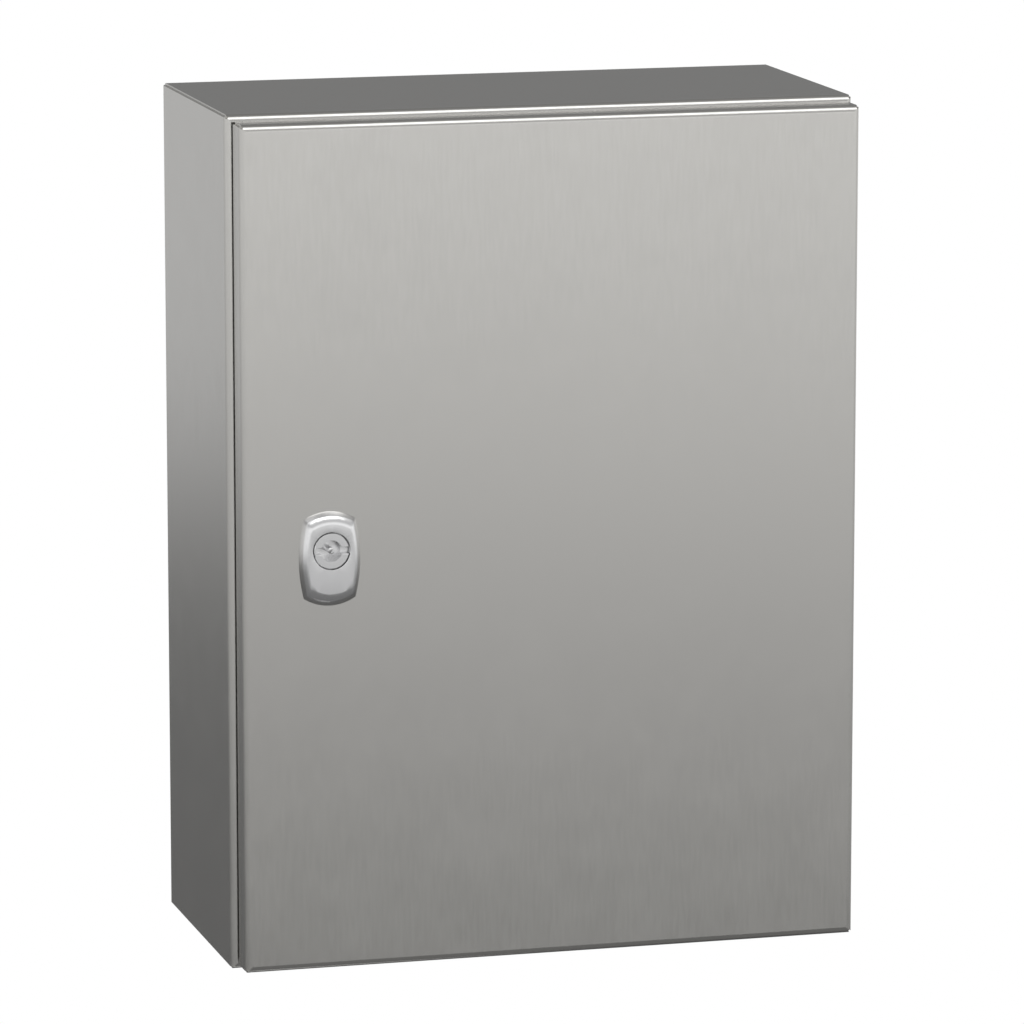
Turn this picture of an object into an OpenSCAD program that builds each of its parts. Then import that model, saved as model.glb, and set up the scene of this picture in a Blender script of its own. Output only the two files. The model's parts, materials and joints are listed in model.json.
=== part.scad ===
// Wall-mounting stainless steel enclosure with a three-pole fused disconnect switch inside.
// Axes: +X to the right, -Y towards the person at the door, +Z up.
// Origin: the middle of the four wall fixing holes, on the rear face.

/* [Enclosure body] */
// Outer width of the enclosure
case_w = 300; // [296:2:500]
// Outer height of the enclosure
case_h = 400; // [390:5:700]
// Depth of the body, from the wall to its front rim
body_depth = 134.5; // [126:0.5:200]
// Thickness of the folded sheet of body and door
sheet = 1.5; // [1.3:0.1:1.8]
// Outer radius of every fold
bend_r = 3.2; // [2:0.1:3.5]
// Size of the open notch along each corner seam
seam = 1.1; // [0.6:0.1:1.2]
// Radius of the relief hole where three folds meet
relief_r = 0.6; // [0.5:0.1:1.6]
// Width of the front rim, from the side to the inner face of its lip
rim_w = 20.5; // [20:0.5:24]
// Radius of the four wall fixing holes
wall_hole_r = 4.25; // [3:0.25:6]
// Distance of the wall fixing holes from the sides, top and bottom
wall_hole_inset = 25; // [25:1:28]

/* [Door] */
// How far each door edge lies inside the body's outline
door_inset = 2.5; // [1.5:0.25:3]
// Gap between the body's rim and the door's flanges
door_gap = 5.5; // [4.8:0.1:8]
// Depth of the door, from its flanges' edges to its front
door_depth = 14; // [13.5:0.5:22]
// Width of the foamed door gasket
gasket_w = 10; // [8:0.5:11]
// Thickness of the door gasket
gasket_t = 7; // [5:0.5:8]
// Outer corner radius of the door gasket
gasket_corner_r = 12; // [11:1:20]
// Gap between the gasket and the body's lip
seal_gap = 0.3; // [0.3:0.1:1]

/* [Hinges] */
// Distance of the hinges' middles from the top and bottom
hinge_inset = 60; // [45:5:90]
// Length of one hinge
hinge_len = 40; // [38:2:50]
// Length of the door leaf's barrel
hinge_barrel = 14; // [10:1:14]
// Distance of the hinge axis from the door's right edge
hinge_edge = 4.1; // [4:0.1:4.2]
// How far in front of the flanges' edges the hinge axis lies
hinge_ahead = 1.5; // [1.3:0.1:1.8]
// Radius of a hinge pin
hinge_pin_r = 1.4; // [1:0.1:1.5]
// Thickness of the body leaf on the rim
body_leaf_t = 6.5; // [5.5:0.25:7]
// Thickness of the door leaf's plate
door_leaf_t = 2; // [1.5:0.5:3]
// Distance of a leaf's screws and studs from its middle
leaf_fixing = 13; // [12.5:0.5:14]

/* [Lock] */
// Distance of the lock from the enclosure's left side
lock_inset = 43.25; // [42:0.25:46]
// Height of the lock above the enclosure's middle
lock_z = 0.6; // [-60:0.1:60]
// Width of the lock plate at its middle
lock_plate_w = 29.2; // [28:0.1:32]
// Height of the lock plate
lock_plate_h = 44.3; // [42:0.1:54]
// How far the lock plate's middle lies below its insert
lock_plate_drop = 4.1; // [2:0.1:5]
// How far the lock plate stands out from the door
lock_plate_t = 4.5; // [4:0.5:8]
// Radius of the lock's threaded barrel
lock_barrel_r = 11; // [11:0.1:12]
// Half the distance across the barrel's flats
lock_flat = 10; // [9.6:0.1:10.4]
// Radius of the turning insert's face
insert_r = 8.2; // [7.8:0.1:8.4]
// Radius of the turning insert's shaft
insert_shaft_r = 7; // [6:0.1:7.4]
// Width of the open ring around the insert's face
insert_ring = 0.55; // [0.3:0.05:0.8]
// Radius of the key hole in the insert
key_hole_r = 5; // [4.5:0.1:5.5]
// Radius of the pin in the key hole
key_pin_r = 1.5; // [1:0.1:2]
// Height of the two slots for the key's bits
key_slot_h = 3; // [2:0.25:3.5]
// Length of the cam, from its pivot to its tip
cam_len = 36; // [32:1:38]
// Width of the cam
cam_w = 14; // [12:1:16]
// Thickness of the cam
cam_t = 3; // [2.5:0.5:4]
// Side of the square that drives the cam
cam_square = 8; // [7:0.5:8.5]

/* [Mounting plate and gland plate] */
// Distance of the mounting plate from the rear sheet
plate_standoff = 12.5; // [8:0.5:20]
// Thickness of the mounting plate
plate_t = 2; // [1.5:0.5:3]
// Distance of the mounting plate's sides from the enclosure's sides
plate_side = 35; // [33:1:36]
// Distance of the mounting plate's ends from the top and bottom
plate_end = 25; // [22:1:32]
// Distance of the plate studs from the plate's edges
plate_stud_inset = 12; // [10:1:16]
// Radius of the plate studs
plate_stud_r = 3; // [2.5:0.5:4]
// Width of the cable opening in the bottom
gland_w = 200; // [160:5:210]
// Depth of the cable opening in the bottom
gland_d = 65; // [50:1:68]
// Distance from the rear face to the middle of the cable opening
gland_y = 67; // [65:1:70]
// Width of the seat around the cable opening
gland_seat = 12; // [10:1:14]

/* [Switch] */
// Width of the switch
switch_w = 150; // [150:1:156]
// Height of the switch between its end walls
switch_h = 140; // [140:2:150]
// Length of each terminal bay
bay_len = 22; // [20:1:28]
// Depth of the switch base
base_depth = 30; // [29:1:36]
// Thickness of the base's floor
base_floor = 5; // [4:0.5:6]
// Depth of the cover on the base
cover_depth = 16; // [14:1:20]
// Distance between poles
pole_pitch = 34; // [34:0.5:36]
// Distance of the last pole from the switch's right side
pole_edge = 21; // [20:1:22]
// Radius of a fuse's end caps
fuse_r = 11; // [9:0.5:11.5]
// Length of a fuse
fuse_len = 58; // [50:1:58]
// Height of the carrier bar's travel from off to on
travel = 10; // [8:0.5:10]
// Distance of the handle's shaft from the switch's left side
shaft_edge = 21; // [20:1:24]
// Radius of the handle's shaft
shaft_r = 5; // [4:0.5:6]
// Length of the handle's grip
grip_len = 46; // [40:1:50]
// Height of the handle, from the cover to its front
handle_depth = 28; // [22:1:34]

/* [Fits] */
// Radial clearance of a shaft or pin in its bore
running = 0.05; // [0.02:0.01:0.1]
// Gap between pieces that pass each other
pass = 0.3; // [0.3:0.05:0.4]

/* [Hidden] */
$fn = 48;

// Enclosure
case_x = case_w / 2;
case_z = case_h / 2;
rim_y = -body_depth;
door_rear = rim_y - door_gap;
door_front = door_rear - door_depth;
door_inside = door_front + sheet;
door_w = case_w - 2 * door_inset;
door_h = case_h - 2 * door_inset;
lip_x = case_x - rim_w;
lip_z = case_z - rim_w;
lip_front = door_inside + gasket_t + seal_gap;
eps = 0.5;

// Hinges
hinge_x = door_w / 2 - hinge_edge;
hinge_y = door_rear - hinge_ahead;
hinge_rows = [-1, 1] * (case_z - hinge_inset);
knuckle_r = hinge_edge - sheet - pass;
body_leaf_x = lip_x + sheet + 1.3;
body_leaf_front = rim_y - body_leaf_t;
rim_screw_x = (body_leaf_x + hinge_x - knuckle_r) / 2;
door_leaf_x = lip_x + sheet / 2 + gasket_w / 2 + 0.8;
door_stud_x = hinge_x - 2.5;
small_r = 2;
small_nut = 7;
small_nut_t = 3.2;
small_head_r = 3.8;
small_head_t = 2.6;

// Lock
lock_x = -case_x + lock_inset;
lock_front = door_front - lock_plate_t;
plate_bulge = 3.4;
plate_side_r = (pow(lock_plate_h / 2, 2) + pow(plate_bulge, 2)) / 2 / plate_bulge;
plate_end_r = lock_plate_h / 2 + 0.25;
plate_tip_z = lock_plate_h / 2 - plate_end_r
    + sqrt(pow(plate_end_r, 2) - pow(lock_plate_w / 2 - plate_bulge + 0.9, 2));
plate_tip_x = lock_plate_w / 2 - plate_side_r + sqrt(pow(plate_side_r, 2) - pow(plate_tip_z, 2));
plate_corner_r = 40;
plate_corner_angle = 37;
plate_corner_cut = 0.6;
plate_top_edge = 5;
plate_low_edge = 6.3;
plate_side_edge = 4.1;
edge_curve = [[0, 0], [0.08, 0.2], [0.32, 0.6], [0.51, 0.82], [0.69, 0.93], [0.83, 0.98], [1, 1]];
cam_front = rim_y + sheet + 0.4;
cam_rear = cam_front + cam_t;
barrel_end = cam_front - 0.2;
insert_face = lock_front + 0.4;
insert_face_t = 4.6;
key_depth = 9;
lock_nut_af = 27;
lock_nut_t = 6;
cam_screw_r = 2.5;
cam_washer_r = 8;
cam_washer_t = 1.2;

// Mounting plate
plate_rear = -sheet - plate_standoff;
plate_front = plate_rear - plate_t;
plate_x = case_x - plate_side;
plate_z = case_z - plate_end;
plate_stud_x = plate_x - plate_stud_inset;
plate_stud_z = plate_z - plate_stud_inset;
plate_washer_t = 1.6;
plate_nut_t = 5;
floor_z = -case_z + sheet;
gland_gasket_t = 2;
gland_plate_t = 2;
gland_stud_r = 2.5;
gland_nut_t = 4;
gland_stud_x = gland_w / 2 + gland_seat / 2;
gland_stud_y = gland_d / 2 + gland_seat / 2;

// Switch
switch_x = switch_w / 2;
switch_z = switch_h / 2;
base_front = plate_front - base_depth;
floor_front = plate_front - base_floor;
cover_front = base_front - cover_depth;
wall = 4;
rib = 2;
chamber_z = 11.5;
fuse_zone_x = switch_x - pole_edge - 2.5 * pole_pitch;
poles = [for (i = [2, 1, 0]) switch_x - pole_edge - i * pole_pitch];
barriers = [poles[0] + pole_pitch / 2, poles[1] + pole_pitch / 2];
shaft_x = -switch_x + shaft_edge;
shaft_z = chamber_z + 18.5;
crank_r = travel / sqrt(2);
crank_pin_r = 2.5;
crank_slack = 0.6;
crank_t = 5;
crank_rear = base_front - 1;
carrier_h = 10;
carrier_z = shaft_z - travel / 2;
carrier_rear = plate_front - 11;
carrier_front = base_front + pass;
bridge_t = 3;
bridge_half = 12;
bridge_rear = carrier_rear - 5;
bridge_front = bridge_rear - 8;
bridge_top = carrier_z + carrier_h / 2 + bridge_t;
leg_z = bridge_top + travel + pass;
leg_t = 4;
leg_w = 8;
bar_t = 3;
bar_rear = floor_front - pass;
bar_front = bar_rear - bar_t;
bar_half = 7;
terminal_z = switch_z + 12;
contact_foot = 8;
contact_step = 12;
contact_lap = 7;
fuse_y = bar_front - fuse_r - 7;
fuse_inset = 14;
fuse_low = -switch_z + fuse_inset;
fuse_high = fuse_low + fuse_len;
cap_len = 14;
clip_len = 11;
clip_t = 1;
clip_gap = 0.1;
terminal_screw_r = 3;
terminal_head_r = 4.5;
fuse_cover_rise = 14;
fuse_cover_front = base_front - fuse_cover_rise;
fuse_cover_rear = base_front - 1.5;
fuse_cover_t = 2;
fuse_cover_grip = 15;
fuse_cover_grip_inset = 7;
fuse_cover_slot = 9;
cover_axis_y = base_front - 6;
cover_axis_z = -switch_z + 4.5;
cover_pin_r = 1.5;
cover_barrel_r = 3.5;
shroud_t = 1.5;
handle_rear = cover_front - 2;
handle_front = handle_rear - handle_depth;
handle_base_t = 7;
grip_w = 12;

// Neutral link beside the switch
neutral_x = plate_x - 14;
neutral_half = 36;
neutral_w = 16;
neutral_t = 18;
neutral_bar_t = 8;
neutral_seat = plate_front - neutral_t;
neutral_front = neutral_seat - neutral_bar_t;
bar_screw_pitch = 14;
bar_screw_r = 2;
bar_head_r = 3.6;
bar_head_t = 3;

// Earth bar below the switch
earth_bar_z = -plate_z + 35;
earth_bar_half = 60;
earth_bar_w = 12;
earth_bar_t = 6;
earth_foot = 14;
earth_foot_inset = 10;
earth_foot_t = 14;
earth_seat = plate_front - earth_foot_t;
earth_front = earth_seat - earth_bar_t;

// A flat shape drawn in X and Z, made into a slab between two planes across Y
module slab(rear, front) {
    translate([0, rear, 0]) rotate([90, 0, 0]) linear_extrude(rear - front) children();
}

// A flat shape drawn in X and Y, made into a slab between two heights
module layer(low, high) {
    translate([0, 0, low]) linear_extrude(high - low) children();
}

// Rectangle between two corners
module rect(x0, x1, y0, y1) {
    translate([x0, y0]) square([x1 - x0, y1 - y0]);
}

module disc(x, y, r) {
    translate([x, y]) circle(r);
}

module round_rect(x0, x1, y0, y1, r) {
    rect(x0 + r, x1 - r, y0, y1);
    rect(x0, x1, y0 + r, y1 - r);
    for (x = [x0 + r, x1 - r], y = [y0 + r, y1 - r]) disc(x, y, r);
}

module hexagon(across_flats) {
    circle(across_flats / 2 / cos(30), $fn = 6);
}

// Screw whose head's seat is at the given place, pointing to the rear
module screw(x, seat, z, r, length, head_r, head_t) {
    translate([x, 0, z]) {
        slab(seat + length, seat) circle(r);
        difference() {
            slab(seat, seat - head_t) circle(head_r);
            slab(seat - head_t / 2, seat - head_t - eps) rect(-head_r, head_r, -head_r / 7, head_r / 7);
        }
    }
}

module nut(x, seat, z, r, across_flats, thick) {
    translate([x, 0, z]) slab(seat, seat - thick) difference() {
        hexagon(across_flats);
        circle(r + running);
    }
}

// Outline of a folded tray, seen along one of its folds
module fold_profile(w, depth, front_r, rear_r) {
    rect(-w / 2, w / 2, -depth + front_r, -rear_r);
    rect(-w / 2 + front_r, w / 2 - front_r, -depth, -depth + front_r);
    for (side = [-1, 1]) disc(side * (w / 2 - front_r), -depth + front_r, front_r);
    if (rear_r > 0) {
        rect(-w / 2 + rear_r, w / 2 - rear_r, -rear_r, 0);
        for (side = [-1, 1]) disc(side * (w / 2 - rear_r), -rear_r, rear_r);
    }
}

// Block with folds along its front edges, and along its rear edges if rear_r is not 0
module folded_block(w, h, depth, front_r, rear_r) {
    intersection() {
        linear_extrude(h, center = true) fold_profile(w, depth, front_r, rear_r);
        rotate([0, -90, 0]) linear_extrude(w, center = true) fold_profile(h, depth, front_r, rear_r);
    }
}

// What is left open along the corner seams and where three folds meet
module corner_cuts(w, h, rear, front) {
    for (sx = [-1, 1], sz = [-1, 1]) {
        slab(rear + eps, front - eps)
            translate([sx * w / 2, sz * h / 2]) square(2 * seam, center = true);
        slab(front + bend_r + relief_r, front - eps)
            disc(sx * (w / 2 - seam), sz * (h / 2 - seam), relief_r);
    }
}

module enclosure_body() {
    inner_r = bend_r - sheet;
    color("silver") difference() {
        union() {
            difference() {
                folded_block(case_w, case_h, body_depth, bend_r, bend_r);
                translate([0, -sheet, 0])
                    folded_block(case_w - 2 * sheet, case_h - 2 * sheet, body_depth - 2 * sheet,
                        inner_r, inner_r);
                slab(rim_y + 2 * sheet, rim_y - eps) rect(-lip_x, lip_x, -lip_z, lip_z);
            }
            slab(rim_y + sheet / 2, lip_front) difference() {
                rect(-lip_x - sheet, lip_x + sheet, -lip_z - sheet, lip_z + sheet);
                rect(-lip_x, lip_x, -lip_z, lip_z);
            }
        }
        corner_cuts(case_w, case_h, 0, rim_y);
        for (sx = [-1, 1], sz = [-1, 1])
            slab(eps, -sheet - eps)
                disc(sx * (case_x - wall_hole_inset), sz * (case_z - wall_hole_inset), wall_hole_r);
        layer(-case_z - eps, floor_z + eps)
            rect(-gland_w / 2, gland_w / 2, -gland_y - gland_d / 2, -gland_y + gland_d / 2);
        for (z = hinge_rows, dz = [-1, 1] * leaf_fixing)
            slab(rim_y + 2 * sheet, rim_y - eps) disc(rim_screw_x, z + dz, small_r + running);
    }
}

module door() {
    color("silver") difference() {
        translate([0, door_rear, 0]) difference() {
            folded_block(door_w, door_h, door_depth, bend_r, 0);
            translate([0, eps, 0])
                folded_block(door_w - 2 * sheet, door_h - 2 * sheet, door_depth - sheet + eps,
                    bend_r - sheet, 0);
        }
        corner_cuts(door_w, door_h, door_rear, door_front);
        slab(door_inside + eps, door_front - eps) translate([lock_x, lock_z]) intersection() {
            circle(lock_barrel_r + pass);
            square([2 * (lock_flat + pass), 4 * lock_flat], center = true);
        }
    }
}

module door_gasket() {
    mid_x = lip_x + sheet / 2;
    mid_z = lip_z + sheet / 2;
    color("dimgray") slab(door_inside + gasket_t, door_inside) difference() {
        round_rect(-mid_x - gasket_w / 2, mid_x + gasket_w / 2, -mid_z - gasket_w / 2,
            mid_z + gasket_w / 2, gasket_corner_r);
        round_rect(-mid_x + gasket_w / 2, mid_x - gasket_w / 2, -mid_z + gasket_w / 2,
            mid_z - gasket_w / 2, gasket_corner_r - gasket_w + eps);
    }
}

// Two barrels on a leaf that is screwed to the body's rim
module hinge_body_leaves() {
    half = hinge_len / 2;
    gap = hinge_barrel / 2 + pass;
    color("gray") for (z = hinge_rows) translate([0, 0, z]) difference() {
        union() {
            layer(-half, half) rect(body_leaf_x, hinge_x - knuckle_r - 1, body_leaf_front, rim_y);
            for (span = [[-half, -gap], [gap, half]]) layer(span[0], span[1]) {
                disc(hinge_x, hinge_y, knuckle_r);
                rect(hinge_x - knuckle_r - 4, hinge_x, hinge_y - knuckle_r, hinge_y + 1.2);
            }
        }
        layer(-half - eps, half + eps) disc(hinge_x, hinge_y, hinge_pin_r + running);
        for (dz = [-1, 1] * leaf_fixing)
            translate([rim_screw_x, 0, dz])
                slab(rim_y + eps, hinge_y - knuckle_r - eps) circle(small_r + running);
        for (dz = [-1, 1] * leaf_fixing)
            translate([rim_screw_x, 0, dz])
                slab(body_leaf_front, hinge_y - knuckle_r - eps) circle(small_head_r + pass);
    }
}

module hinge_door_leaves() {
    half = hinge_len / 2;
    right = door_w / 2 - bend_r - 0.3;
    color("gray") for (z = hinge_rows) translate([0, 0, z]) difference() {
        union() {
            layer(-half, half) rect(door_leaf_x, right, door_inside, door_inside + door_leaf_t);
            layer(-hinge_barrel / 2, hinge_barrel / 2) {
                disc(hinge_x, hinge_y, knuckle_r);
                rect(hinge_x - 1.5, right, door_inside + eps, hinge_y);
            }
        }
        layer(-half - eps, half + eps) disc(hinge_x, hinge_y, hinge_pin_r + running);
        for (dz = [-1, 1] * leaf_fixing)
            translate([door_stud_x, 0, dz])
                slab(door_inside + door_leaf_t + eps, door_inside - eps) circle(small_r + running);
    }
}

module hinge_pins() {
    color("lightgray") for (z = hinge_rows) translate([0, 0, z]) {
        layer(-hinge_len / 2, hinge_len / 2) disc(hinge_x, hinge_y, hinge_pin_r);
        layer(hinge_len / 2, hinge_len / 2 + 1.5) disc(hinge_x, hinge_y, hinge_pin_r + 0.7);
    }
}

module hinge_rim_screws() {
    color("lightgray") for (z = hinge_rows, dz = [-1, 1] * leaf_fixing)
        screw(rim_screw_x, body_leaf_front, z + dz, small_r, body_leaf_t + sheet + small_nut_t + 1,
            small_head_r, small_head_t);
}

module hinge_rim_nuts() {
    color("lightgray") for (z = hinge_rows, dz = [-1, 1] * leaf_fixing)
        nut(rim_screw_x, rim_y + sheet + small_nut_t, z + dz, small_r, small_nut, small_nut_t);
}

module hinge_door_studs() {
    color("lightgray") for (z = hinge_rows, dz = [-1, 1] * leaf_fixing)
        translate([door_stud_x, 0, z + dz])
            slab(door_inside + door_leaf_t + small_nut_t + 1, door_inside) circle(small_r);
}

module hinge_door_nuts() {
    color("lightgray") for (z = hinge_rows, dz = [-1, 1] * leaf_fixing)
        nut(door_stud_x, door_inside + door_leaf_t + small_nut_t, z + dz, small_r, small_nut,
            small_nut_t);
}

// Round block whose rim curves in towards its front, by the given width
module domed_disc(x, z, r, edge) {
    translate([x, 0, z]) rotate([90, 0, 0]) rotate_extrude($fn = 180) polygon(concat(
        [[0, -door_front]],
        [for (c = edge_curve) [r - c[0] * edge, -door_front + c[1] * lock_plate_t]],
        [[0, -lock_front]]));
}

// The lock plate: bulging sides, arched ends and rounded edges, narrow at the sides and wide below
module lock_plate() {
    intersection() {
        domed_disc(plate_side_r - lock_plate_w / 2, 0, plate_side_r, plate_side_edge);
        domed_disc(lock_plate_w / 2 - plate_side_r, 0, plate_side_r, plate_side_edge);
        domed_disc(0, lock_plate_h / 2 - plate_end_r, plate_end_r, plate_top_edge);
        domed_disc(0, plate_end_r - lock_plate_h / 2, plate_end_r, plate_low_edge);
        for (sx = [-1, 1], sz = [-1, 1]) domed_disc(
            sx * (plate_tip_x - (plate_corner_r + plate_corner_cut) * cos(plate_corner_angle)),
            sz * (plate_tip_z - (plate_corner_r + plate_corner_cut) * sin(plate_corner_angle)),
            plate_corner_r, plate_side_edge);
    }
}

module lock_housing() {
    color("silver") translate([lock_x, 0, lock_z]) difference() {
        union() {
            translate([0, 0, -lock_plate_drop]) lock_plate();
            slab(barrel_end, door_front - eps) intersection() {
                circle(lock_barrel_r);
                square([2 * lock_flat, 4 * lock_flat], center = true);
            }
        }
        slab(insert_face + insert_face_t + 0.2, lock_front - eps) circle(insert_r + insert_ring);
        slab(barrel_end + eps, lock_front) circle(insert_shaft_r + running);
        slab(door_front + eps, door_front - 1) difference() {
            circle(lock_barrel_r + 2);
            circle(lock_barrel_r + 0.5);
        }
    }
}

module lock_gasket() {
    color("black") translate([lock_x, 0, lock_z]) slab(door_front, door_front - 1) difference() {
        circle(lock_barrel_r + 1.9);
        circle(lock_barrel_r + 0.6);
    }
}

module lock_nut() {
    color("silver")
        nut(lock_x, door_inside + lock_nut_t, lock_z, lock_barrel_r, lock_nut_af, lock_nut_t);
}

module lock_insert() {
    slot_rear = insert_face + insert_face_t - 0.6;
    color("silver") translate([lock_x, 0, lock_z]) difference() {
        union() {
            slab(insert_face + insert_face_t, insert_face) circle(insert_r);
            slab(barrel_end, insert_face + insert_face_t - eps) circle(insert_shaft_r);
            slab(cam_rear - 0.2, barrel_end - eps) square(cam_square, center = true);
        }
        slab(insert_face + key_depth, insert_face - eps) difference() {
            circle(key_hole_r);
            circle(key_pin_r);
        }
        slab(insert_face + 1, insert_face - eps) circle(key_pin_r + eps);
        slab(slot_rear, insert_face - eps)
            rect(key_hole_r - 0.6, insert_r + 1, -key_slot_h / 2, key_slot_h / 2);
        slab(slot_rear, insert_face - eps)
            rect(-insert_r + 1, -key_hole_r + 0.6, -key_slot_h / 2, key_slot_h / 2);
        slab(cam_rear, cam_rear - 10) circle(cam_screw_r + running);
    }
}

module lock_cam() {
    color("gray") translate([lock_x, 0, lock_z]) slab(cam_rear, cam_front) difference() {
        union() {
            circle(cam_w / 2 + 2);
            rect(-cam_w / 2, cam_w / 2, -cam_len + cam_w / 2, 0);
            disc(0, -cam_len + cam_w / 2, cam_w / 2);
        }
        square(cam_square + 2 * running, center = true);
    }
}

module lock_cam_washer() {
    color("lightgray") translate([lock_x, 0, lock_z])
        slab(cam_rear + cam_washer_t, cam_rear) difference() {
            circle(cam_washer_r);
            circle(cam_screw_r + running);
        }
}

module lock_cam_screw() {
    seat = cam_rear + cam_washer_t;
    color("lightgray") translate([lock_x, 0, lock_z]) {
        slab(seat, cam_rear - 9) circle(cam_screw_r);
        slab(seat + 3.5, seat) hexagon(8);
    }
}

// Six places around the cable opening
module at_gland_studs() {
    for (x = [-1, 0, 1] * gland_stud_x, y = [-1, 1] * gland_stud_y)
        translate([x, y - gland_y, floor_z]) children();
}

module gland_outline() {
    x = gland_w / 2 + gland_seat;
    y = gland_d / 2 + gland_seat;
    round_rect(-x, x, -gland_y - y, -gland_y + y, 4);
}

module gland_gasket() {
    color("black") difference() {
        layer(floor_z, floor_z + gland_gasket_t) difference() {
            gland_outline();
            rect(-gland_w / 2, gland_w / 2, -gland_y - gland_d / 2, -gland_y + gland_d / 2);
        }
        at_gland_studs() cylinder(h = 30, r = gland_stud_r + 0.5, center = true);
    }
}

module gland_plate() {
    color("silver") difference() {
        layer(floor_z + gland_gasket_t, floor_z + gland_gasket_t + gland_plate_t) gland_outline();
        at_gland_studs() cylinder(h = 30, r = gland_stud_r + 0.5, center = true);
    }
}

module gland_studs() {
    color("lightgray") at_gland_studs()
        cylinder(h = gland_gasket_t + gland_plate_t + gland_nut_t + 2, r = gland_stud_r);
}

module gland_nuts() {
    color("lightgray") at_gland_studs()
        translate([0, 0, gland_gasket_t + gland_plate_t]) linear_extrude(gland_nut_t) difference() {
            hexagon(8);
            circle(gland_stud_r + running);
        }
}

module at_plate_studs() {
    for (x = [-1, 1] * plate_stud_x, z = [-1, 1] * plate_stud_z) translate([x, 0, z]) children();
}

// Studs welded to the rear sheet, each with a collar that carries the mounting plate
module plate_studs() {
    color("lightgray") at_plate_studs() {
        slab(-sheet, plate_rear) circle(plate_stud_r + 2.5);
        slab(plate_rear, plate_front - plate_washer_t - plate_nut_t - 3) circle(plate_stud_r);
    }
}

// Places of the screws that hold the switch, at its two sides
module at_switch_fixings() {
    for (x = [-1, 1] * (switch_x + 5), z = [-1, 1] * (switch_z - 14))
        translate([x, 0, z]) children();
}

module mounting_plate() {
    color("lightsteelblue") difference() {
        slab(plate_rear, plate_front) round_rect(-plate_x, plate_x, -plate_z, plate_z, 3);
        at_plate_studs() slab(plate_rear + eps, plate_front - eps) circle(plate_stud_r + 0.5);
        at_switch_fixings() slab(plate_rear + eps, plate_front - eps) circle(2.5 + running);
    }
}

module plate_washers() {
    color("lightgray") at_plate_studs() slab(plate_front, plate_front - plate_washer_t) difference() {
        circle(2 * plate_stud_r);
        circle(plate_stud_r + 0.2);
    }
}

module plate_nuts() {
    color("lightgray") at_plate_studs()
        nut(0, plate_front - plate_washer_t, 0, plate_stud_r, 10, plate_nut_t);
}

// Earth connections: a welded stud in the body's lower rear and one on the door
earth_stud_r = 4;
earth_x = 60;
earth_z = -case_z + 13;
door_earth_x = lip_x - 22;
door_earth_z = -lip_z + 22;

module body_earth_stud() {
    color("lightgray") translate([earth_x, 0, earth_z]) slab(-sheet, -sheet - 24) circle(earth_stud_r);
}

module body_earth_nut() {
    color("gold") nut(earth_x, -sheet - 6, earth_z, earth_stud_r, 13, 6.5);
}

module door_earth_stud() {
    color("lightgray") translate([door_earth_x, 0, door_earth_z])
        slab(door_inside + 18, door_inside) circle(earth_stud_r - 1);
}

module door_earth_nut() {
    color("gold") nut(door_earth_x, door_inside + 5 + 6, door_earth_z, earth_stud_r - 1, 10, 5);
}

// Walls of the switch base, seen from the front
module base_walls() {
    x = switch_x;
    z = switch_z;
    rect(-x, -x + wall, -z, z);
    rect(x - wall, x, -z, z);
    rect(-x, x, z - wall, z);
    rect(-x, x, -z, -z + wall);
    rect(fuse_zone_x, x, chamber_z - rib, chamber_z);
    rect(fuse_zone_x - rib, fuse_zone_x, -z, z);
    for (b = barriers) rect(b - rib / 2, b + rib / 2, -z - bay_len, z + bay_len);
    for (b = [fuse_zone_x, x - rib]) rect(b, b + rib, -z - bay_len, z + bay_len);
}

// Moulded base: a floor, a chamber for each pole, fuse channels and terminal bays
module switch_base() {
    x = switch_x;
    z = switch_z;
    color("darkslategray") difference() {
        union() {
            slab(plate_front, floor_front)
                round_rect(-x, x, -z - bay_len, z + bay_len, 3);
            slab(floor_front + eps, base_front) base_walls();
            at_switch_fixings() slab(plate_front, floor_front) round_rect(-8, 8, -8, 8, 3);
            for (b = barriers)
                slab(base_front + eps, cover_axis_y - cover_barrel_r)
                    rect(b - rib / 2, b + rib / 2, -z + 1, -z + 8);
        }
        slab(carrier_rear + pass, base_front - eps)
            rect(-x + wall, x - wall, carrier_z - carrier_h / 2 - pass - 2, leg_z + leg_t + 1);
        at_switch_fixings() slab(plate_front + eps, floor_front - eps) circle(2.5 + 0.3);
        for (p = poles) {
            slab(bar_rear, bar_front - 1)
                rect(p - bar_half - pass, p + bar_half + pass, -z - bay_len - eps, chamber_z + eps);
            slab(bar_rear, bar_front - 1)
                rect(p - bar_half - pass, p + bar_half + pass, z - wall - eps, z + bay_len + eps);
            slab(bar_rear, bar_front - 1)
                rect(p - bridge_half - pass, p + bridge_half + pass, chamber_z - rib - eps,
                    chamber_z + eps);
            for (side = [-1, 1])
                slab(plate_front - 1, floor_front - eps)
                    disc(p, side * terminal_z, terminal_screw_r + 0.2);
        }
        translate([0, cover_axis_y, cover_axis_z]) rotate([0, 90, 0])
            cylinder(h = 2 * x, r = cover_pin_r + running);
        at_cover_screws() slab(base_front + 12, base_front - eps) circle(1.5 + running);
    }
}

// Corners of the switch where its cover is screwed down
module at_cover_screws() {
    for (place = [[-1, 1], [1, 1], [-1, -1]])
        translate([place[0] * (switch_x - 2), 0, place[1] * (switch_z - 2)]) children();
}

module cover_outline(inset) {
    x = switch_x - inset;
    z = switch_z - inset;
    r = 4 - inset / 2;
    round_rect(-x, x, chamber_z - rib + inset, z, r);
    round_rect(-x, fuse_zone_x - inset, -z, z, r);
}

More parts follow.
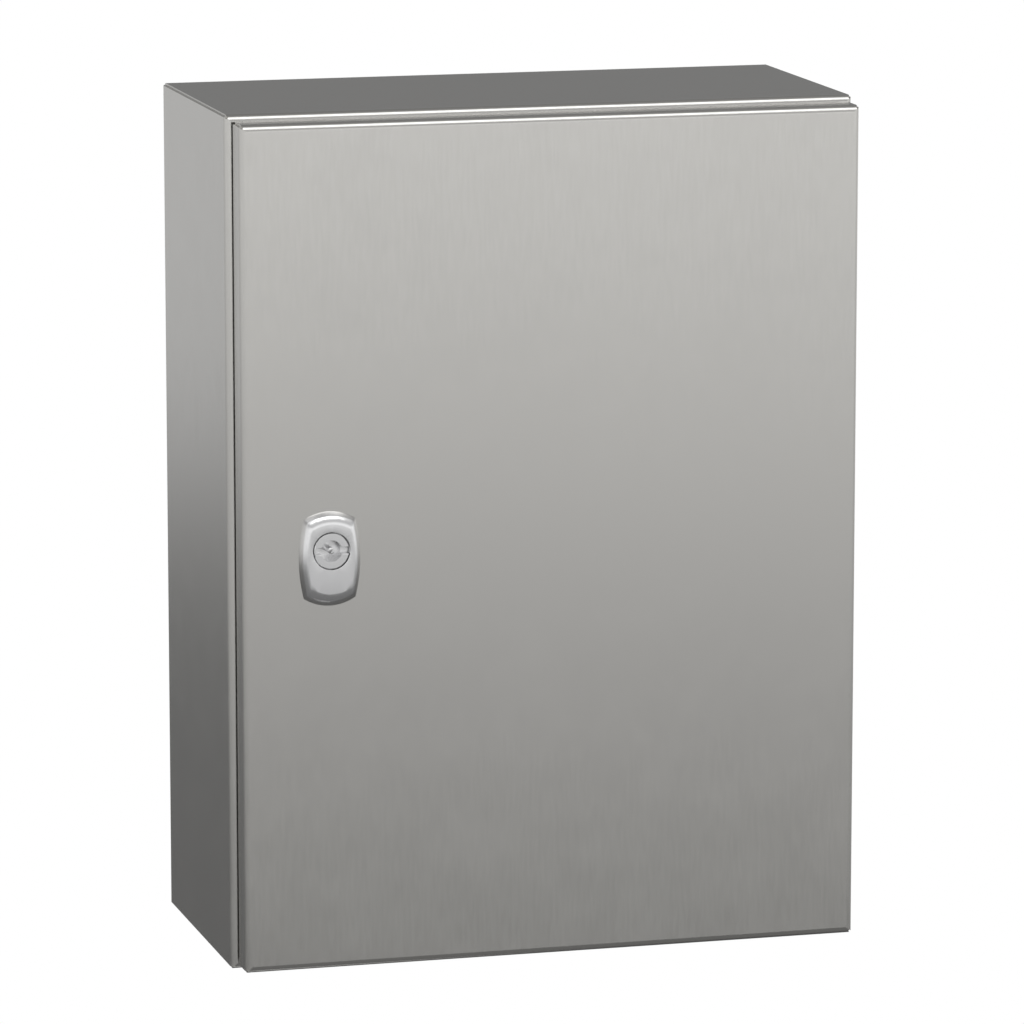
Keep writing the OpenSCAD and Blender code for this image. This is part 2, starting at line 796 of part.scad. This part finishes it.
module switch_cover() {
    color("dimgray") difference() {
        union() {
            difference() {
                slab(base_front, cover_front) cover_outline(0);
                slab(base_front + eps, cover_front + 3) cover_outline(wall);
            }
            for (b = barriers)
                slab(base_front, cover_front + 2)
                    rect(b - rib / 2, b + rib / 2, chamber_z, switch_z - 1);
            slab(crank_rear - crank_t - 1, cover_front - 1.5)
                disc(shaft_x, shaft_z, shaft_r + 5);
        }
        slab(base_front + eps, cover_front - 2) disc(shaft_x, shaft_z, shaft_r + running);
        at_cover_screws() slab(base_front + eps, cover_front - eps) circle(1.5 + running);
        at_cover_screws() slab(cover_front + 2.5, cover_front - eps) circle(3.2);
    }
}

module switch_cover_screws() {
    color("lightgray") at_cover_screws()
        screw(0, cover_front + 2.5, 0, 1.5, cover_depth - 2.5 + 10, 3, 2);
}

module switch_fixing_screws() {
    color("lightgray") at_switch_fixings() screw(0, floor_front, 0, 2.5, base_floor + plate_t + 2,
        4.5, 3.2);
}

// Turning handle with a long grip, lying level when the switch is off
module handle() {
    base_r = 18;
    color("black") translate([shaft_x, 0, shaft_z]) difference() {
        union() {
            slab(handle_rear, handle_rear - handle_base_t) circle(base_r);
            slab(handle_rear - handle_base_t + eps, handle_front)
                round_rect(-grip_len / 2, grip_len / 2, -grip_w / 2, grip_w / 2, grip_w / 2 - 1);
        }
        slab(handle_rear + eps, handle_rear - 15) circle(shaft_r + running);
        slab(handle_front + 0.8, handle_front - eps)
            round_rect(-grip_len / 2 + 3, -grip_len / 2 + 15, -1.2, 1.2, 1.1);
        for (side = [-1, 1])
            slab(handle_rear - handle_base_t - 3, handle_front - eps)
                disc(0, side * (grip_w / 2 + 17), 18.5);
    }
}

// Shaft with the crank whose pin lifts the carrier
module handle_shaft() {
    reach = crank_r / sqrt(2);
    color("silver") translate([shaft_x, 0, shaft_z]) {
        slab(crank_rear, handle_rear - 14.5) circle(shaft_r);
        slab(crank_rear, crank_rear - crank_t) {
            circle(shaft_r + 4);
            disc(-reach, -reach, crank_pin_r + 2);
        }
        slab(carrier_rear - 3, crank_rear - eps) disc(-reach, -reach, crank_pin_r);
    }
}

// Insulating bar across the poles, with a slot for the crank pin
module contact_carrier() {
    reach = crank_r / sqrt(2);
    high = carrier_z + carrier_h / 2;
    low = carrier_z - carrier_h / 2;
    slot_left = shaft_x - crank_r - crank_pin_r - crank_slack;
    slot_right = shaft_x - reach + crank_pin_r + crank_slack;
    slot_half = crank_pin_r + crank_slack;
    color("ivory") difference() {
        slab(carrier_rear, carrier_front) union() {
            rect(-switch_x + wall + pass, switch_x - wall - pass, low, high);
        }
        slab(carrier_rear - 2, carrier_front - eps)
            round_rect(slot_left, slot_right, carrier_z - slot_half, carrier_z + slot_half, 1);
        for (p = poles) slab(carrier_rear - 3, carrier_front + 3)
            rect(p - 3, p + 3, high - 4, high + eps);
    }
}

// Copper bridges that join the two legs of each pole
module bridge_contacts() {
    low = carrier_z + carrier_h / 2;
    color("peru") for (p = poles) {
        slab(bridge_rear, bridge_front) rect(p - bridge_half, p + bridge_half, low, low + bridge_t);
        slab(bridge_rear - 2, bridge_front + 2) rect(p - 2.5, p + 2.5, low - 3, low + eps);
    }
}

module line_contacts() {
    color("peru") difference() {
        for (p = poles) {
            slab(bar_rear, bar_front) {
                rect(p - bar_half, p + bar_half, switch_z - contact_foot, switch_z + bay_len - 2);
                rect(p - bridge_half, p - bridge_half + leg_w, leg_z, switch_z - contact_foot + eps);
                rect(p - bridge_half, p + bar_half, switch_z - contact_step, switch_z - contact_lap);
            }
            slab(bar_rear, bridge_front)
                rect(p - bridge_half, p - bridge_half + leg_w, leg_z, leg_z + leg_t);
        }
        for (p = poles) slab(bar_rear + eps, bar_front - eps)
            disc(p, terminal_z, terminal_screw_r + 0.2);
    }
}

// A spring clip that holds one end of a fuse, open towards the front
module fuse_clip(p, low) {
    inner = fuse_r + clip_gap;
    layer(low, low + clip_len) translate([p, fuse_y]) {
        difference() {
            circle(inner + clip_t);
            circle(inner);
            polygon([[0, 0], [-2 * fuse_r, -2.4 * fuse_r], [2 * fuse_r, -2.4 * fuse_r]]);
        }
        for (side = [-1, 1])
            rect(side * 4 - 0.6, side * 4 + 0.6, inner * cos(asin(4 / inner)) + 0.3,
                bar_front - fuse_y + eps);
    }
}

module upper_fuse_clips() {
    color("peru") for (p = poles) {
        slab(bar_rear, bar_front) {
            rect(p + bridge_half - leg_w, p + bridge_half, chamber_z - 8, leg_z + leg_t);
            rect(p - bar_half, p + bridge_half, chamber_z - 8, chamber_z - 4);
            rect(p - bar_half, p + bar_half, fuse_high - cap_len - 2, chamber_z - 4);
        }
        slab(bar_rear, bridge_front)
            rect(p + bridge_half - leg_w, p + bridge_half, leg_z, leg_z + leg_t);
        fuse_clip(p, fuse_high - cap_len + 1);
    }
}

module lower_fuse_clips() {
    color("peru") difference() {
        for (p = poles) {
            slab(bar_rear, bar_front)
                rect(p - bar_half, p + bar_half, -switch_z - bay_len + 2, fuse_low + cap_len + 2);
            fuse_clip(p, fuse_low + cap_len - 1 - clip_len);
        }
        for (p = poles) slab(bar_rear + eps, bar_front - eps)
            disc(p, -terminal_z, terminal_screw_r + 0.2);
    }
}

module terminal_plates() {
    color("gainsboro") for (p = poles, side = [-1, 1])
        translate([p, 0, side * terminal_z]) slab(bar_front, bar_front - 3) difference() {
            round_rect(-bar_half, bar_half, -6, 6, 1.5);
            circle(terminal_screw_r + 0.2);
        }
}

module terminal_screws() {
    color("gainsboro") for (p = poles, side = [-1, 1])
        screw(p, bar_front - 3, side * terminal_z, terminal_screw_r, 3 + bar_t + base_floor - 2,
            terminal_head_r, 4);
}

module fuse_tubes() {
    color("white") for (p = poles) translate([p, fuse_y, fuse_low + 1])
        cylinder(h = fuse_len - 2, r = fuse_r - 0.6);
}

module fuse_caps() {
    color("silver") for (p = poles, high = [false, true])
        translate([p, fuse_y, high ? fuse_high - cap_len : fuse_low]) difference() {
            cylinder(h = cap_len, r = fuse_r);
            translate([0, 0, high ? -eps : 1])
                cylinder(h = cap_len - 1 + eps, r = fuse_r - 0.6 + running);
        }
}

// Clear cover over the fuses, hinged along its lower edge
module fuse_cover() {
    left = fuse_zone_x + 0.5;
    right = switch_x - 0.5;
    low = -switch_z + 1;
    high = chamber_z - rib - 0.5;
    lug = rib / 2 + 0.5;
    color("lightblue", 0.5) difference() {
        union() {
            difference() {
                slab(fuse_cover_rear, fuse_cover_front) round_rect(left, right, low, high, 3);
                slab(fuse_cover_rear + eps, fuse_cover_front + fuse_cover_t)
                    rect(left + fuse_cover_t, right - fuse_cover_t, low - eps, high - fuse_cover_t);
            }
            translate([left + 1, cover_axis_y, cover_axis_z]) rotate([0, 90, 0])
                cylinder(h = right - left - 2, r = cover_barrel_r);
            slab(cover_axis_y, fuse_cover_front + eps)
                rect(left + 1, right - 1, cover_axis_z - cover_barrel_r, cover_axis_z);
            slab(fuse_cover_front + eps, fuse_cover_front - 4)
                round_rect((left + right) / 2 - fuse_cover_grip, (left + right) / 2 + fuse_cover_grip,
                    high - fuse_cover_grip_inset, high - 3, 1.5);
        }
        for (b = barriers)
            slab(base_front + eps, fuse_cover_front + fuse_cover_t)
                rect(b - lug, b + lug, low - 1, low + fuse_cover_slot);
        translate([fuse_zone_x - 1, cover_axis_y, cover_axis_z]) rotate([0, 90, 0])
            cylinder(h = switch_w, r = cover_pin_r + running);
    }
}

module fuse_cover_pin() {
    color("silver") translate([fuse_zone_x + 2, cover_axis_y, cover_axis_z]) rotate([0, 90, 0])
        cylinder(h = switch_x - fuse_zone_x - 4, r = cover_pin_r);
}

// Clear guard over one terminal bay, with a hole over each screw
module shroud(side) {
    near = switch_z + 0.3;
    far = switch_z + bay_len;
    color("lightblue", 0.5) slab(base_front, base_front - shroud_t) difference() {
        if (side > 0) round_rect(fuse_zone_x, switch_x, near, far, 2);
        if (side < 0) round_rect(fuse_zone_x, switch_x, -far, -near, 2);
        for (p = poles) disc(p, side * terminal_z, terminal_head_r);
    }
}

module line_shroud() {
    shroud(1);
}

module load_shroud() {
    shroud(-1);
}

module neutral_block() {
    color("dimgray") slab(plate_front, neutral_seat)
        round_rect(neutral_x - neutral_w / 2, neutral_x + neutral_w / 2, -neutral_half,
            neutral_half, 2);
}

module neutral_bar() {
    half = neutral_half - 4;
    color("gold") difference() {
        slab(neutral_seat, neutral_front)
            rect(neutral_x - neutral_w / 2 + 2, neutral_x + neutral_w / 2 - 2, -half, half);
        for (i = [-2 : 2]) slab(neutral_seat - 1, neutral_front - eps)
            disc(neutral_x, i * bar_screw_pitch, bar_screw_r + running);
    }
}

module neutral_screws() {
    color("gainsboro") for (i = [-2 : 2])
        screw(neutral_x, neutral_front, i * bar_screw_pitch, bar_screw_r, neutral_bar_t - 2,
            bar_head_r, bar_head_t);
}

module earth_bar_supports() {
    x = earth_bar_half - earth_foot_inset;
    color("dimgray") for (side = [-1, 1]) slab(plate_front, earth_seat)
        rect(side * x - earth_foot / 2, side * x + earth_foot / 2, earth_bar_z - earth_foot / 2,
            earth_bar_z + earth_foot / 2);
}

module earth_bar() {
    color("peru") slab(earth_seat, earth_front) difference() {
        rect(-earth_bar_half, earth_bar_half, earth_bar_z - earth_bar_w / 2,
            earth_bar_z + earth_bar_w / 2);
        for (i = [-3 : 3]) disc(i * bar_screw_pitch, earth_bar_z, bar_screw_r + running);
    }
}

module earth_bar_screws() {
    color("gainsboro") for (i = [-3 : 3])
        screw(i * bar_screw_pitch, earth_front, earth_bar_z, bar_screw_r, earth_bar_t - 1,
            bar_head_r, bar_head_t);
}

enclosure_body();
door();
door_gasket();
hinge_body_leaves();
hinge_door_leaves();
hinge_pins();
hinge_rim_screws();
hinge_rim_nuts();
hinge_door_studs();
hinge_door_nuts();
lock_housing();
lock_gasket();
lock_nut();
lock_insert();
lock_cam();
lock_cam_washer();
lock_cam_screw();
gland_gasket();
gland_plate();
gland_studs();
gland_nuts();
plate_studs();
mounting_plate();
plate_washers();
plate_nuts();
body_earth_stud();
body_earth_nut();
door_earth_stud();
door_earth_nut();
switch_base();
switch_cover();
switch_cover_screws();
switch_fixing_screws();
handle();
handle_shaft();
contact_carrier();
bridge_contacts();
line_contacts();
upper_fuse_clips();
lower_fuse_clips();
terminal_plates();
terminal_screws();
fuse_tubes();
fuse_caps();
fuse_cover();
fuse_cover_pin();
line_shroud();
load_shroud();
neutral_block();
neutral_bar();
neutral_screws();
earth_bar();
earth_bar_supports();
earth_bar_screws();
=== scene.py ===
"""Looks of an enclosed fused disconnect switch: a satin stainless enclosure with a locked door."""
import json
import math

import bpy
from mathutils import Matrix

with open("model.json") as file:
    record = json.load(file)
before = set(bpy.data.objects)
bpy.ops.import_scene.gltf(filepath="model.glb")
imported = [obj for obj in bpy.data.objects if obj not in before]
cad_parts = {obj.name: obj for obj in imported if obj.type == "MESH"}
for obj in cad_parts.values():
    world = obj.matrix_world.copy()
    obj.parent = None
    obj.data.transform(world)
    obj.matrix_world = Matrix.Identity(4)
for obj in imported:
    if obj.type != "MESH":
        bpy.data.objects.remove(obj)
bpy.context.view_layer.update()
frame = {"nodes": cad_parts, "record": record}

# ---------------------------------------------------------------- camera and stage
# Lengths in metres, angles in degrees. The enclosure's back lies at y = 0, its door faces -Y.
CAMERA_AT = (-0.7896, -2.980, 0.5535)
CAMERA_TURN = 15.235        # from +Y towards +X
CAMERA_DIP = 10.438         # below the horizon
CAMERA_LENS = 226.62        # millimetres, on a sensor of SENSOR_W
SENSOR_W = 36.0
VIEW_END = 100.0

FLOOR_Z = -1.50             # the enclosure hangs on a wall, this far above the floor
FLOOR_R = 0.30
FLOOR_SIDES = 128
FLOOR_COLOUR = (0.82, 0.82, 0.82, 1.0)
FLOOR_ROUGHNESS = 0.9

SOFTBOX_AT = (0.2, -1.5, 2.2)
SOFTBOX_AIM = (0.0, -0.15, 0.2)
SOFTBOX_SIZE = (2.2, 1.0)
SOFTBOX_WATTS = 12.0

# Brightness of the studio by height above the horizon, on each side of the object. The white
# band of BEHIND is what the camera sees around the enclosure.
FRONT = [(-90, 0.20), (-30, 0.21), (-18, 0.19), (-14.7, 0.15), (-12.2, 0.24), (-10.2, 0.85),
         (-7.7, 1.20), (-2, 1.24), (6, 1.2), (20, 0.62), (36, 0.6), (45, 1.0), (74, 1.05),
         (82, 0.35), (90, 0.30)]
LEFT = [(-90, 0.12), (-10.66, 0.15), (-9.81, 0.63), (-3, 0.67), (2, 0.5), (20, 0.35),
        (60, 0.35), (90, 0.30)]
BEHIND = [(-90, 0.12), (-21, 0.12), (-18, 1.0), (-4, 1.0), (-1, 0.5), (3, 0.235), (15, 0.25),
          (40, 0.27), (90, 0.30)]
RIGHT = [(-90, 0.12), (-19, 0.15), (-11, 0.5), (-7.7, 0.9), (6, 0.8), (30, 0.4), (55, 0.38),
         (90, 0.30)]

# Where one side's levels fade into the next, from +Y towards +X
LEFT_TO_BEHIND = (0, 7)
BEHIND_TO_RIGHT = (23, 34)
RIGHT_TO_FRONT = (90, 125)
# Share of the front levels among the left ones, by the angle from +Y towards -X
LEFT_TO_FRONT = [(25, 0.0), (55, 0.35), (83, 0.70), (105, 0.80), (130, 0.87), (155, 1.0)]


class Nodes:
    """Short hand for building a node tree."""

    def __init__(self, tree):
        self.tree = tree
        tree.nodes.clear()

    def add(self, kind, **values):
        """A node of that kind, with its named sockets set."""
        node = self.tree.nodes.new(kind)
        for name, value in values.items():
            node.inputs[name].default_value = value
        return node

    def link(self, source, target):
        self.tree.links.new(source, target)

    def math(self, operation, *values):
        """A sum on numbers or sockets."""
        node = self.tree.nodes.new("ShaderNodeMath")
        node.operation = operation
        for socket, value in zip(node.inputs, values):
            if isinstance(value, (int, float)):
                socket.default_value = value
            else:
                self.link(value, socket)
        return node.outputs[0]

    def ramp(self, value, stops):
        """Grey levels by the value, in straight lines between the stops."""
        node = self.tree.nodes.new("ShaderNodeValToRGB")
        elements = node.color_ramp.elements
        while len(elements) < len(stops):
            elements.new(0.5)
        for element, (place, level) in zip(elements, stops):
            element.position = place
            element.color = (level, level, level, 1.0)
        self.link(value, node.inputs[0])
        return node.outputs[0]

    def smooth(self, value, low, high):
        """A smooth step from 0 at low to 1 at high."""
        node = self.tree.nodes.new("ShaderNodeMapRange")
        node.interpolation_type = "SMOOTHSTEP"
        self.link(value, node.inputs["Value"])
        node.inputs["From Min"].default_value = low
        node.inputs["From Max"].default_value = high
        return node.outputs["Result"]

    def mix(self, factor, a, b):
        """Colour a at factor 0 and colour b at factor 1; each is a colour or a socket."""
        node = self.tree.nodes.new("ShaderNodeMix")
        node.data_type = "RGBA"
        self.link(factor, node.inputs[0])
        for socket, value in ((node.inputs[6], a), (node.inputs[7], b)):
            if isinstance(value, tuple):
                socket.default_value = (*value, 1.0)
            else:
                self.link(value, socket)
        return node.outputs[2]


def place_camera():
    data = bpy.data.cameras.new("camera")
    data.lens = CAMERA_LENS
    data.sensor_width = SENSOR_W
    data.clip_end = VIEW_END
    camera = bpy.data.objects.new("camera", data)
    camera.location = CAMERA_AT
    camera.rotation_euler = (math.radians(90.0 - CAMERA_DIP), 0.0, math.radians(-CAMERA_TURN))
    bpy.context.collection.objects.link(camera)
    bpy.context.scene.camera = camera


def rise(degrees):
    """Ramp position of a direction that many degrees above the horizon."""
    return (math.sin(math.radians(degrees)) + 1.0) / 2.0


def build_world():
    """A studio: white behind the object, bright in front of it, and dark below the horizon."""
    world = bpy.data.worlds.new("studio")
    bpy.context.scene.world = world
    world.use_nodes = True
    n = Nodes(world.node_tree)
    split = n.add("ShaderNodeSeparateXYZ")
    n.link(n.add("ShaderNodeTexCoord").outputs["Generated"], split.inputs[0])
    height = n.math("MULTIPLY_ADD", split.outputs["Z"], 0.5, 0.5)
    turn = n.math("ARCTAN2", split.outputs["X"], split.outputs["Y"])
    leftwards = n.math("DIVIDE", turn, -math.pi)
    front, left, behind, right = (
        n.ramp(height, [(rise(angle), level) for angle, level in stops])
        for stops in (FRONT, LEFT, BEHIND, RIGHT))

    def fade(edges):
        return n.smooth(turn, math.radians(edges[0]), math.radians(edges[1]))

    colour = n.mix(fade(LEFT_TO_BEHIND), left, behind)
    colour = n.mix(fade(BEHIND_TO_RIGHT), colour, right)
    share = n.ramp(leftwards, [(angle / 180.0, level) for angle, level in LEFT_TO_FRONT])
    colour = n.mix(share, colour, front)
    colour = n.mix(fade(RIGHT_TO_FRONT), colour, front)
    background = n.add("ShaderNodeBackground", Strength=1.0)
    n.link(colour, background.inputs["Color"])
    n.link(background.outputs[0], n.add("ShaderNodeOutputWorld").inputs[0])


def build_softbox():
    data = bpy.data.lights.new("softbox", "AREA")
    data.shape = "RECTANGLE"
    data.size, data.size_y = SOFTBOX_SIZE
    data.energy = SOFTBOX_WATTS
    lamp = bpy.data.objects.new("softbox", data)
    lamp.location = SOFTBOX_AT
    away = [at - aim for at, aim in zip(SOFTBOX_AT, SOFTBOX_AIM)]
    flat = math.hypot(away[0], away[1])
    lamp.rotation_euler = (math.atan2(flat, away[2]), 0.0, math.atan2(away[0], -away[1]))
    bpy.context.collection.objects.link(lamp)


def build_floor():
    bpy.ops.mesh.primitive_circle_add(vertices=FLOOR_SIDES, radius=FLOOR_R, fill_type="NGON",
                                      location=(0.0, 0.0, FLOOR_Z))
    floor = bpy.context.object
    floor.name = "floor"
    material = bpy.data.materials.new("floor")
    material.use_nodes = True
    n = Nodes(material.node_tree)
    shader = n.add("ShaderNodeBsdfPrincipled",
                   **{"Base Color": FLOOR_COLOUR, "Roughness": FLOOR_ROUGHNESS})
    n.link(shader.outputs[0], n.add("ShaderNodeOutputMaterial").inputs[0])
    floor.data.materials.append(material)


# ---------------------------------------------------------------- materials
# Texture scales are in cells per metre, and relief in metres.
def start(name):
    """A new material, its nodes, its shader and the place on the piece."""
    material = bpy.data.materials.new(name)
    material.use_nodes = True
    n = Nodes(material.node_tree)
    shader = n.add("ShaderNodeBsdfPrincipled")
    n.link(shader.outputs[0], n.add("ShaderNodeOutputMaterial").inputs[0])
    place = n.add("ShaderNodeTexCoord").outputs["Object"]
    return material, n, shader, place


def stretched(n, place, scale):
    mapping = n.add("ShaderNodeMapping", Scale=scale)
    n.link(place, mapping.inputs["Vector"])
    return mapping.outputs[0]


def noise(n, place, scale, detail, roughness=0.5):
    node = n.add("ShaderNodeTexNoise", Scale=scale, Detail=detail, Roughness=roughness)
    n.link(place, node.inputs["Vector"])
    return node.outputs["Fac"]


def relief(n, shader, height, strength, distance):
    """Fine relief on the shader, by the height."""
    bump = n.add("ShaderNodeBump", Strength=strength, Distance=distance)
    n.link(height, bump.inputs["Height"])
    n.link(bump.outputs[0], shader.inputs["Normal"])


def shades(colour, spread):
    """The colour made a little darker and a little lighter."""
    return (tuple(c * (1.0 - spread) for c in colour),
            tuple(min(1.0, c * (1.0 + spread)) for c in colour))


def metal(name, colour, roughness, grain=(700.0, 700.0, 90.0), mottle=0.015, smudge=0.02):
    """Satin metal: a fine grain in its gloss and relief, faint smudges, a slow change of tone."""
    spread = 0.012
    material, n, shader, place = start(name)
    shader.inputs["Metallic"].default_value = 1.0
    fine = noise(n, stretched(n, place, grain), scale=1.0, detail=2.0)
    slow = noise(n, place, scale=9.0, detail=4.0)
    patch = noise(n, place, scale=38.0, detail=6.0, roughness=0.65)
    n.link(n.mix(slow, *shades(colour, mottle)), shader.inputs["Base Color"])
    rough = n.math("ADD", n.ramp(fine, [(0.3, roughness - spread), (0.7, roughness + spread)]),
                   n.ramp(patch, [(0.45, 0.0), (0.75, smudge)]))
    n.link(rough, shader.inputs["Roughness"])
    relief(n, shader, fine, strength=0.25, distance=0.000003)
    return material


def spangled(name, colour, roughness):
    """Hot-dip zinc: crystals a few millimetres across that differ a little in tone and gloss."""
    mottle, spread = 0.13, 0.08
    material, n, shader, place = start(name)
    shader.inputs["Metallic"].default_value = 1.0
    crystals = n.add("ShaderNodeTexVoronoi", Scale=160.0)
    n.link(place, crystals.inputs["Vector"])
    tone = n.add("ShaderNodeRGBToBW")
    n.link(crystals.outputs["Color"], tone.inputs[0])
    n.link(n.mix(tone.outputs[0], *shades(colour, mottle)), shader.inputs["Base Color"])
    n.link(n.ramp(tone.outputs[0], [(0.1, roughness - spread), (0.9, roughness + spread)]),
           shader.inputs["Roughness"])
    relief(n, shader, noise(n, place, scale=600.0, detail=2.0), strength=0.3, distance=0.00001)
    return material


def tarnished(name, colour, old, roughness):
    """Bright metal with darker, duller patches where it has been handled."""
    duller = 0.14
    material, n, shader, place = start(name)
    shader.inputs["Metallic"].default_value = 1.0
    where = n.smooth(noise(n, place, scale=55.0, detail=6.0, roughness=0.6), 0.42, 0.72)
    n.link(n.mix(where, colour, old), shader.inputs["Base Color"])
    n.link(n.ramp(where, [(0.0, roughness), (1.0, roughness + duller)]),
           shader.inputs["Roughness"])
    lines = noise(n, stretched(n, place, (250.0, 2500.0, 2500.0)), scale=1.0, detail=2.0)
    relief(n, shader, lines, strength=0.3, distance=0.000006)
    return material


def plastic(name, colour, roughness, texture=1200.0, bump=0.00003, mottle=0.06):
    """Moulded plastic: a fine spark texture, a little change of tone and dull, rubbed patches."""
    spread = 0.05
    material, n, shader, place = start(name)
    slow = noise(n, place, scale=14.0, detail=3.0)
    rubbed = noise(n, place, scale=60.0, detail=5.0, roughness=0.6)
    n.link(n.mix(slow, *shades(colour, mottle)), shader.inputs["Base Color"])
    n.link(n.ramp(rubbed, [(0.3, roughness - spread), (0.7, roughness + spread)]),
           shader.inputs["Roughness"])
    relief(n, shader, noise(n, place, scale=texture, detail=2.0), strength=0.5, distance=bump)
    return material


def clear_plastic(name):
    """Clear, faintly smoked sheet with a soft haze."""
    material, n, shader, place = start(name)
    shader.inputs["Transmission Weight"].default_value = 1.0
    shader.inputs["IOR"].default_value = 1.58
    slow = noise(n, place, scale=25.0, detail=4.0)
    n.link(n.mix(slow, (0.86, 0.90, 0.91), (0.92, 0.95, 0.96)), shader.inputs["Base Color"])
    n.link(n.ramp(slow, [(0.3, 0.03), (0.7, 0.09)]), shader.inputs["Roughness"])
    relief(n, shader, noise(n, place, scale=90.0, detail=1.0), strength=0.1, distance=0.00005)
    return material


MATERIALS = {
    "stainless": metal("stainless", (0.550, 0.542, 0.520), 0.22),
    "hinge_steel": metal("hinge_steel", (0.52, 0.52, 0.51), 0.32),
    "zinc_steel": metal("zinc_steel", (0.66, 0.68, 0.70), 0.30, grain=(300.0, 300.0, 300.0),
                        mottle=0.07, smudge=0.08),
    "galvanised": spangled("galvanised", (0.58, 0.60, 0.62), 0.38),
    "lock_metal": metal("lock_metal", (0.715, 0.715, 0.72), 0.24, grain=(500.0, 500.0, 500.0)),
    "seal_rubber": plastic("seal_rubber", (0.022, 0.022, 0.022), 0.85, texture=500.0,
                           bump=0.0002),
    "brass": tarnished("brass", (0.80, 0.62, 0.30), (0.52, 0.38, 0.19), 0.24),
    "copper": tarnished("copper", (0.84, 0.50, 0.36), (0.50, 0.28, 0.20), 0.26),
    "base_plastic": plastic("base_plastic", (0.060, 0.063, 0.068), 0.52),
    "handle_plastic": plastic("handle_plastic", (0.018, 0.018, 0.019), 0.42),
    "carrier_plastic": plastic("carrier_plastic", (0.66, 0.61, 0.50), 0.5),
    "clear_plastic": clear_plastic("clear_plastic"),
    "ceramic": plastic("ceramic", (0.80, 0.77, 0.70), 0.20, texture=300.0, bump=0.00001,
                       mottle=0.03),
    "fuse_cap_metal": tarnished("fuse_cap_metal", (0.78, 0.76, 0.72), (0.56, 0.52, 0.46), 0.20),
}

# Pieces whose edges are rounded here, and the radius of the rounding
SOFT_EDGES = {
    "lock_housing": 0.00020, "lock_insert": 0.00012, "switch_base": 0.0005,
    "switch_cover": 0.0005, "handle": 0.0008, "contact_carrier": 0.0003, "fuse_cover": 0.0003,
    "neutral_block": 0.0004, "earth_bar_supports": 0.0004, "mounting_plate": 0.0002,
}
WELD_WITHIN = 0.000002
ROUND_ABOVE = 40.0          # edges that turn more are rounded
SPLIT_ABOVE = 35.0          # and facets that turn less shade as one surface
ROUND_STEPS = 2
LARGEST_WEIGHT = 100        # the shading of a rounding follows its large neighbours


def soften(node, radius):
    """Rounds the sharp edges of a piece and shades its small facets as one surface."""
    mesh = node.data
    if "custom_normal" in mesh.attributes:
        mesh.attributes.remove(mesh.attributes["custom_normal"])
    mesh.shade_smooth()
    node.modifiers.new("weld", "WELD").merge_threshold = WELD_WITHIN
    bevel = node.modifiers.new("round", "BEVEL")
    bevel.width = radius
    bevel.segments = ROUND_STEPS
    bevel.limit_method = "ANGLE"
    bevel.angle_limit = math.radians(ROUND_ABOVE)
    node.modifiers.new("split", "EDGE_SPLIT").split_angle = math.radians(SPLIT_ABOVE)
    flat = node.modifiers.new("flat", "WEIGHTED_NORMAL")
    flat.mode = "FACE_AREA"
    flat.weight = LARGEST_WEIGHT


def finish_nodes():
    for part in frame["record"]["subparts"]:
        node = frame["nodes"][part["node"]]
        node.data.materials.clear()
        node.data.materials.append(MATERIALS[part["material_slot"]])
    for name, radius in SOFT_EDGES.items():
        soften(frame["nodes"][name], radius)


place_camera()
build_world()
build_softbox()
build_floor()
finish_nodes()

bpy.context.scene.view_settings.view_transform = "Standard"
